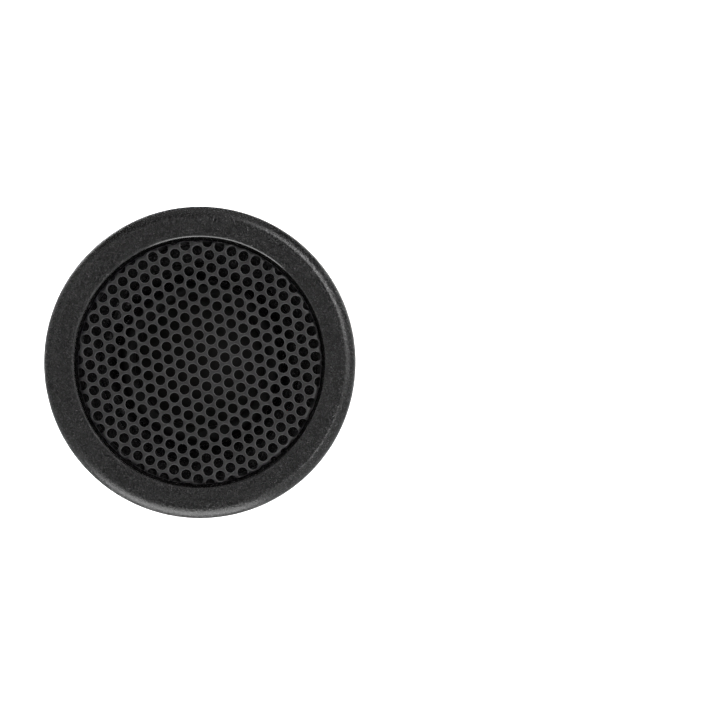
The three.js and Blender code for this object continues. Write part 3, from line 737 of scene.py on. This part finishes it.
def make_lock_nut(material):
    """Ring nut with rounded edges, finger grips outside and the barrel's thread inside."""
    def outside(inset, y):
        return (lambda angle: grip_radius(angle, inset)), y

    turns = [math.radians(angle) for angle in NUT_EDGE_ANGLES]
    rounding = [(NUT_EDGE * (1 - math.sin(turn)), NUT_EDGE * (1 - math.cos(turn))) for turn in turns]
    front_edge = [outside(inset, NUT_FRONT + lift) for inset, lift in rounding]
    back_edge = [outside(inset, NUT_BACK - lift) for inset, lift in reversed(rounding)]
    bore = threaded_rows(nut_bore, NUT_FRONT, NUT_BACK)[::-1]
    piece = new_object("grip_nut", turned(front_edge + back_edge + bore))
    install(piece, material, "nut", "nylon", "lock_nut")


def make_gasket(material):
    """Die-cut foam ring with softly rounded edges."""
    low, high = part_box("flange_gasket")
    inner, outer = GASKET_INNER + GASKET_EDGE, high.x - GASKET_EDGE
    front, back = low.y + GASKET_EDGE, high.y - GASKET_EDGE
    outline = [
        *arc(inner, front, GASKET_EDGE, 180, 270, steps=5),
        *arc(outer, front, GASKET_EDGE, -90, 0, steps=5),
        *arc(outer, back, GASKET_EDGE, 0, 90, steps=5),
        *arc(inner, back, GASKET_EDGE, 90, 180, steps=5),
    ]
    piece = new_object("foam_gasket", turned(outline))
    install(piece, material, "case", "foam", "flange_gasket")


def make_cover_screw(node, material):
    """Pan-head screw with a cross recess, its head to the back."""
    low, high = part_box(node)
    x, z = (low.x + high.x) / 2, (low.z + high.z) / 2
    head_radius = (high.x - low.x) / 2
    seat = high.y - SCREW_HEAD
    outline = [
        (0, low.y),
        (SCREW_TIP_RADIUS, low.y),
        (SCREW_SHANK, low.y + SCREW_POINT),
        (SCREW_SHANK, seat),
        *arc(head_radius - SCREW_SEAT_ROUND, seat + SCREW_SEAT_ROUND, SCREW_SEAT_ROUND, -90, 0, steps=3),
        *arc(head_radius - SCREW_PAN_ROUND, seat + SCREW_PAN_LIFT, SCREW_PAN_ROUND, 0, SCREW_PAN_TURN,
             steps=10),
        (0, high.y),
    ]
    screw = turned(outline, SMALL_SEGMENTS)
    bmesh.ops.translate(screw, verts=screw.verts, vec=(x, 0, z))
    front, back = high.y - RECESS_DEPTH, high.y + RECESS_OVERSHOOT
    recess = [
        block((x - half_x, front, z - half_z), (x + half_x, back, z + half_z))
        for half_x, half_z in ((RECESS_REACH, RECESS_HALF_WIDTH), (RECESS_HALF_WIDTH, RECESS_REACH))]
    piece = combine(f"{node}_head", screw, cut=recess)
    install(piece, material, "case", "screw_steel", node)


# Materials.

def grey(value):
    """A neutral colour."""
    return value, value, value


def add_node(tree, kind, *links, **inputs):
    """A new shader node. inputs sets its sockets or properties by name, with _ for a space, and links are
    (socket, source) pairs."""
    node = tree.nodes.new(kind)
    for name, value in inputs.items():
        socket = node.inputs.get(name.replace("_", " "))
        if socket is None:
            setattr(node, name, value)
        else:
            socket.default_value = value
    for name, source in links:
        tree.links.new(source, node.inputs[name])
    return node


def new_material(name):
    """A material with a plain Principled shader, its node tree, and the object's own coordinates."""
    material = bpy.data.materials.new(name)
    material.use_nodes = True
    tree = material.node_tree
    tree.nodes.clear()
    output = add_node(tree, "ShaderNodeOutputMaterial")
    shader = add_node(tree, "ShaderNodeBsdfPrincipled")
    tree.links.new(shader.outputs["BSDF"], output.inputs["Surface"])
    place = add_node(tree, "ShaderNodeTexCoord").outputs["Object"]
    return material, tree, shader, place


def noise(tree, place, size, detail=3.0, roughness=0.55):
    """Cloudy noise whose features are about size metres across."""
    return add_node(tree, "ShaderNodeTexNoise", ("Vector", place), Scale=1 / size, Detail=detail,
                    Roughness=roughness).outputs["Fac"]


def waves(tree, place, period, direction, distortion, detail=2.0):
    """Soft parallel bands across an axis, period metres apart."""
    return add_node(tree, "ShaderNodeTexWave", ("Vector", place), Scale=WAVE_PERIOD / period,
                    Distortion=distortion, Detail=detail, bands_direction=direction).outputs["Fac"]


def spread(tree, source, low, high, start=0.3, end=0.7):
    """Maps the stretch from start to end of a source to the one from low to high."""
    return add_node(tree, "ShaderNodeMapRange", ("Value", source), From_Min=start, From_Max=end, To_Min=low,
                    To_Max=high).outputs["Result"]


def tint(tree, source, dark, light, start=0.35, end=0.65):
    """A colour that runs from dark to light as the source goes from start to end."""
    ramp = add_node(tree, "ShaderNodeValToRGB", ("Fac", source))
    for element, position, colour in zip(ramp.color_ramp.elements, (start, end), (dark, light)):
        element.position = position
        element.color = (*colour, 1)
    return ramp.outputs["Color"]


def finish_shader(tree, shader, colour, roughness, bumps, **constants):
    """Feeds the shader its colour, roughness and stacked bumps of (height, depth in metres), and sets the
    sockets that constants names, with _ for a space."""
    normal = None
    for height, depth in bumps:
        links = [("Height", height)] + ([("Normal", normal)] if normal else [])
        normal = add_node(tree, "ShaderNodeBump", *links, Strength=1.0, Distance=depth).outputs["Normal"]
    for socket, source in (("Base Color", colour), ("Roughness", roughness), ("Normal", normal)):
        tree.links.new(source, shader.inputs[socket])
    for name, value in constants.items():
        shader.inputs[name.replace("_", " ")].default_value = value


def grained_plastic(name, dark, light, grain=0.3 * MM, depth=0.045 * MM, rough=(0.14, 0.32), gloss=0.4):
    """Black ABS from a spark-eroded mould: fine pits and peaks, with faint flow and handling marks."""
    material, tree, shader, place = new_material(name)
    fine = noise(tree, place, grain, detail=1.0, roughness=0.5)
    speck = noise(tree, place, grain * 0.5, detail=0.0)
    broad = noise(tree, place, 7 * MM, detail=4.0)
    colour = tint(tree, speck, dark, light, start=0.45, end=0.75)
    roughness = spread(tree, fine, *rough)
    bumps = [(broad, 0.03 * MM), (fine, depth), (speck, depth * 0.3)]
    finish_shader(tree, shader, colour, roughness, bumps, Specular_IOR_Level=gloss)
    return material


def powder_coat(name, dark, light, gloss=0.5):
    """Satin black powder coat over steel, with orange peel and a few specks."""
    material, tree, shader, place = new_material(name)
    peel = noise(tree, place, 0.35 * MM, detail=2.0)
    speck = noise(tree, place, 0.09 * MM, detail=1.0)
    broad = noise(tree, place, 9 * MM)
    colour = tint(tree, broad, dark, light)
    roughness = spread(tree, peel, 0.38, 0.55)
    bumps = [(peel, 0.012 * MM), (speck, 0.005 * MM)]
    finish_shader(tree, shader, colour, roughness, bumps, Specular_IOR_Level=gloss)
    return material


def woven(name, dark, light, thread, sheen, gloss=0.2):
    """Coated cloth: two crossed sets of threads under a thin matt coating."""
    material, tree, shader, place = new_material(name)
    warp = waves(tree, place, thread, "X", distortion=0.4, detail=1.0)
    weft = waves(tree, place, thread, "Z", distortion=0.4, detail=1.0)
    weave = add_node(tree, "ShaderNodeMath", (0, warp), (1, weft), operation="MULTIPLY").outputs["Value"]
    blotch = noise(tree, place, 3 * MM)
    colour = tint(tree, blotch, dark, light)
    roughness = spread(tree, blotch, 0.5, 0.72)
    bumps = [(weave, 0.02 * MM), (blotch, 0.02 * MM)]
    finish_shader(tree, shader, colour, roughness, bumps, Sheen_Weight=sheen, Sheen_Roughness=0.4,
                  Specular_IOR_Level=gloss)
    return material


def plated(name, dark, light, rough=(0.22, 0.4), scratch=0.12 * MM):
    """Plated metal with fine drawn scratches and dull patches."""
    material, tree, shader, place = new_material(name)
    stretched = add_node(tree, "ShaderNodeMapping", ("Vector", place), Scale=(1, 0.06, 1)).outputs["Vector"]
    lines = noise(tree, stretched, scratch, detail=2.0)
    patch = noise(tree, place, 2.5 * MM, detail=4.0)
    colour = tint(tree, patch, dark, light)
    roughness = spread(tree, patch, *rough)
    finish_shader(tree, shader, colour, roughness, [(lines, 0.004 * MM)], Metallic=1.0)
    return material


def wound_wire(name, dark, light):
    """Fine enamelled wire in close turns along the axis."""
    material, tree, shader, place = new_material(name)
    turns = waves(tree, place, 0.12 * MM, "Y", distortion=0.2)
    patch = noise(tree, place, 1.5 * MM)
    colour = tint(tree, patch, dark, light)
    roughness = spread(tree, turns, 0.2, 0.4, start=0, end=1)
    finish_shader(tree, shader, colour, roughness, [(turns, 0.02 * MM)], Metallic=1.0)
    return material


def fibrous(name, dark, light, cell, depth):
    """Felt or foam: open cells and loose fibres, without gloss."""
    material, tree, shader, place = new_material(name)
    cells = add_node(tree, "ShaderNodeTexVoronoi", ("Vector", place), Scale=1 / cell).outputs["Distance"]
    fuzz = noise(tree, place, cell * 0.5, detail=4.0, roughness=0.7)
    colour = tint(tree, fuzz, dark, light)
    roughness = spread(tree, cells, 0.95, 0.8, start=0, end=1)
    finish_shader(tree, shader, colour, roughness, [(cells, depth), (fuzz, depth * 0.4)], Sheen_Weight=0.25)
    return material


def smooth_plastic(name, dark, light, rough=(0.3, 0.42), coat=0.0):
    """Plain moulded or extruded plastic with slight waviness and handling marks."""
    material, tree, shader, place = new_material(name)
    wavy = noise(tree, place, 2.2 * MM)
    fine = noise(tree, place, 0.15 * MM, detail=1.0)
    colour = tint(tree, wavy, dark, light)
    roughness = spread(tree, wavy, *rough)
    bumps = [(wavy, 0.02 * MM), (fine, 0.004 * MM)]
    finish_shader(tree, shader, colour, roughness, bumps, Coat_Weight=coat)
    return material


def stage_paint():
    """Plain matt white, with the slightest unevenness of a painted wall."""
    material, tree, shader, place = new_material("stage_paint")
    uneven = noise(tree, place, 0.4, detail=2.0)
    tree.links.new(tint(tree, uneven, grey(0.86), grey(0.88)), shader.inputs["Base Color"])
    tree.links.new(spread(tree, uneven, 0.85, 0.95), shader.inputs["Roughness"])
    shader.inputs["Specular IOR Level"].default_value = 0.1
    return material


# Stage, lights and camera.

def make_stage():
    """A round floor that sweeps up into a wall all round."""
    foot = STAGE_RADIUS - STAGE_SWEEP
    outline = [(0.0, FLOOR_HEIGHT), (foot, FLOOR_HEIGHT)]
    for i in range(1, STAGE_SWEEP_STEPS + 1):
        angle = math.radians(90 * i / STAGE_SWEEP_STEPS)
        rise = STAGE_SWEEP * (1 - math.cos(angle))
        outline.append((foot + STAGE_SWEEP * math.sin(angle), FLOOR_HEIGHT + rise))
    outline.append((STAGE_RADIUS, STAGE_HEIGHT))
    bm = bmesh.new()
    columns = []
    for i in range(STAGE_SEGMENTS):
        angle = TAU * i / STAGE_SEGMENTS
        columns.append([bm.verts.new((r * math.sin(angle), r * math.cos(angle), z)) for r, z in outline])
    for near, far in zip(columns, columns[1:] + columns[:1]):
        for k in range(len(outline) - 1):
            bm.faces.new((near[k], near[k + 1], far[k + 1], far[k]))
    bmesh.ops.remove_doubles(bm, verts=bm.verts, dist=STAGE_WELD)
    stage = new_object("stage", bm)
    stage.data.materials.append(stage_paint())


def area_light(name, place, target, size, radiance, spread_angle=180):
    """A softbox that faces its target. Radiance is how bright it looks, whatever its size and distance."""
    data = bpy.data.lights.new(name, "AREA")
    data.shape = "RECTANGLE"
    data.size, data.size_y = size
    data.energy = radiance * math.pi * size[0] * size[1]
    data.spread = math.radians(spread_angle)
    light = bpy.data.objects.new(name, data)
    bpy.context.scene.collection.objects.link(light)
    light.location = place
    light.rotation_euler = (Vector(target) - Vector(place)).to_track_quat("-Z", "Y").to_euler()
    light.visible_camera = False


def make_lights():
    """The softboxes, and the lamps that face the tweeter from one distance."""
    for softbox in SOFTBOXES:
        area_light(*softbox)
    for number, (azimuth, tilt, radiance) in enumerate(LAMPS):
        across, up = on_circle(math.sin(math.radians(tilt)), azimuth)
        place = Vector((across, -math.cos(math.radians(tilt)), up)) * LAMP_DISTANCE
        area_light(f"lamp_{number}", place, (0, 0, 0), (LAMP_SIZE, LAMP_SIZE), radiance)


def make_world():
    """An even, weak white light from all round."""
    world = bpy.data.worlds.new("studio")
    bpy.context.scene.world = world
    world.use_nodes = True
    background = world.node_tree.nodes["Background"]
    background.inputs["Color"].default_value = (1, 1, 1, 1)
    background.inputs["Strength"].default_value = WORLD_STRENGTH


def make_camera():
    """A camera that looks along +Y, with FIELD_WIDTH in its view at the flange's face."""
    data = bpy.data.cameras.new("camera")
    data.sensor_width = SENSOR
    data.lens = SENSOR * CAMERA_DISTANCE / FIELD_WIDTH
    data.clip_start, data.clip_end = CAMERA_CLIP
    camera = bpy.data.objects.new("camera", data)
    bpy.context.scene.collection.objects.link(camera)
    x, z = CAMERA_OFFSET
    camera.location = (x, FLANGE_FRONT - CAMERA_DISTANCE, z)
    camera.rotation_euler = (math.radians(90), 0, 0)
    bpy.context.scene.camera = camera


# Assembly.

make_camera()
make_world()
make_lights()
make_stage()
bpy.context.scene.view_settings.view_transform = "Standard"

housing_plastic = grained_plastic("housing_plastic", grey(0.001), (0.03, 0.03, 0.0303))
# Near-black plate plastic for the parts behind the grille: their own black, darkened further as painted
# shade.
plate_plastic = grained_plastic("plate_plastic", grey(0.003), grey(0.005), gloss=0.12)
edge_plastic = grained_plastic("edge_plastic", grey(0.008), grey(0.02), depth=0.004 * MM, rough=(0.1, 0.16),
                               gloss=0.5)
cover_plastic = grained_plastic("cover_plastic", grey(0.006), grey(0.022), depth=0.03 * MM)
barrel_plastic = grained_plastic("barrel_plastic", grey(0.008), grey(0.018), depth=0.012 * MM)
nylon = grained_plastic("nylon", (0.012, 0.012, 0.013), (0.02, 0.02, 0.021), depth=0.008 * MM)
grille_steel = powder_coat("grille_steel", (0.009, 0.009, 0.0092), (0.014, 0.014, 0.0143))
# Lighter coat on the holes' rounded edges: painted highlight. Near-black coat on the holes' walls: painted
# shade.
grille_edge_highlight = powder_coat("grille_edge_highlight", (0.025, 0.025, 0.026), (0.036, 0.036, 0.037))
grille_wall_shade = powder_coat("grille_wall_shade", grey(0.002), grey(0.004), gloss=0.12)
# The dome and the surround are their own black, darkened further as painted shade behind the grille.
dome_silk = woven("dome_silk", (0.005, 0.0048, 0.0046), (0.008, 0.0075, 0.007), thread=0.14 * MM, sheen=0.03,
                  gloss=0.12)
surround_cloth = woven("surround_cloth", grey(0.003), grey(0.005), thread=0.2 * MM, sheen=0.03)
foam = fibrous("foam", (0.012, 0.012, 0.013), (0.03, 0.03, 0.031), cell=0.25 * MM, depth=0.05 * MM)
felt = fibrous("felt", (0.18, 0.17, 0.15), (0.3, 0.28, 0.25), cell=0.35 * MM, depth=0.06 * MM)
motor_steel = plated("motor_steel", (0.42, 0.43, 0.45), (0.56, 0.57, 0.58))
magnet_nickel = plated("magnet_nickel", (0.6, 0.59, 0.56), (0.68, 0.67, 0.64), rough=(0.12, 0.25))
former_aluminium = plated("former_aluminium", (0.7, 0.71, 0.73), (0.8, 0.81, 0.82), rough=(0.15, 0.3))
tinned_brass = plated("tinned_brass", (0.6, 0.57, 0.5), (0.74, 0.72, 0.66), rough=(0.18, 0.36),
                      scratch=0.08 * MM)
screw_steel = plated("screw_steel", (0.2, 0.2, 0.21), (0.32, 0.32, 0.33), rough=(0.25, 0.4))
copper = wound_wire("copper", (0.5, 0.2, 0.08), (0.66, 0.3, 0.13))
phenolic = smooth_plastic("phenolic", (0.06, 0.028, 0.014), (0.1, 0.05, 0.026))
capacitor_sleeve = smooth_plastic("capacitor_sleeve", (0.012, 0.03, 0.12), (0.02, 0.045, 0.17), coat=0.3)
red_insulation = smooth_plastic("red_insulation", (0.34, 0.015, 0.01), (0.42, 0.025, 0.018))
mark_ink = smooth_plastic("mark_ink", (0.5, 0.5, 0.48), (0.6, 0.6, 0.58), rough=(0.5, 0.6))
black_insulation = smooth_plastic("black_insulation", grey(0.012), grey(0.022))

make_housing(housing_plastic, edge_plastic, plate_plastic, barrel_plastic)
make_grille(grille_steel, grille_edge_highlight, grille_wall_shade)
make_front_plate(plate_plastic)
make_dome(dome_silk)
make_surround(surround_cloth)
make_rear_cover(cover_plastic, mark_ink)
make_terminal_block(phenolic)
make_lock_nut(nylon)
make_gasket(foam)
for number in (1, 2, 3):
    make_cover_screw(f"cover_screw_{number}", screw_steel)
    paint(f"driver_screw_{number}", screw_steel)
paint("slip_washer", nylon, bevel=WASHER_BEVEL)
for polarity in ("positive", "negative"):
    paint(f"blade_{polarity}", tinned_brass, bevel=BLADE_BEVEL)
    paint(f"lug_{polarity}", tinned_brass, bevel=LUG_BEVEL)
    paint(f"tinsel_{polarity}", copper)
paint("diaphragm_ring", plate_plastic)
paint("coil_former", former_aluminium)
paint("voice_coil", copper)
paint("damping_felt", felt)
paint("pole_plate", motor_steel, bevel=MOTOR_BEVEL)
paint("magnet", magnet_nickel, bevel=MOTOR_BEVEL)
paint("yoke_cup", motor_steel)
paint("rear_pad", foam)
paint("capacitor", capacitor_sleeve)
paint("wire_positive", red_insulation)
paint("wire_capacitor", red_insulation)
paint("wire_negative", black_insulation)
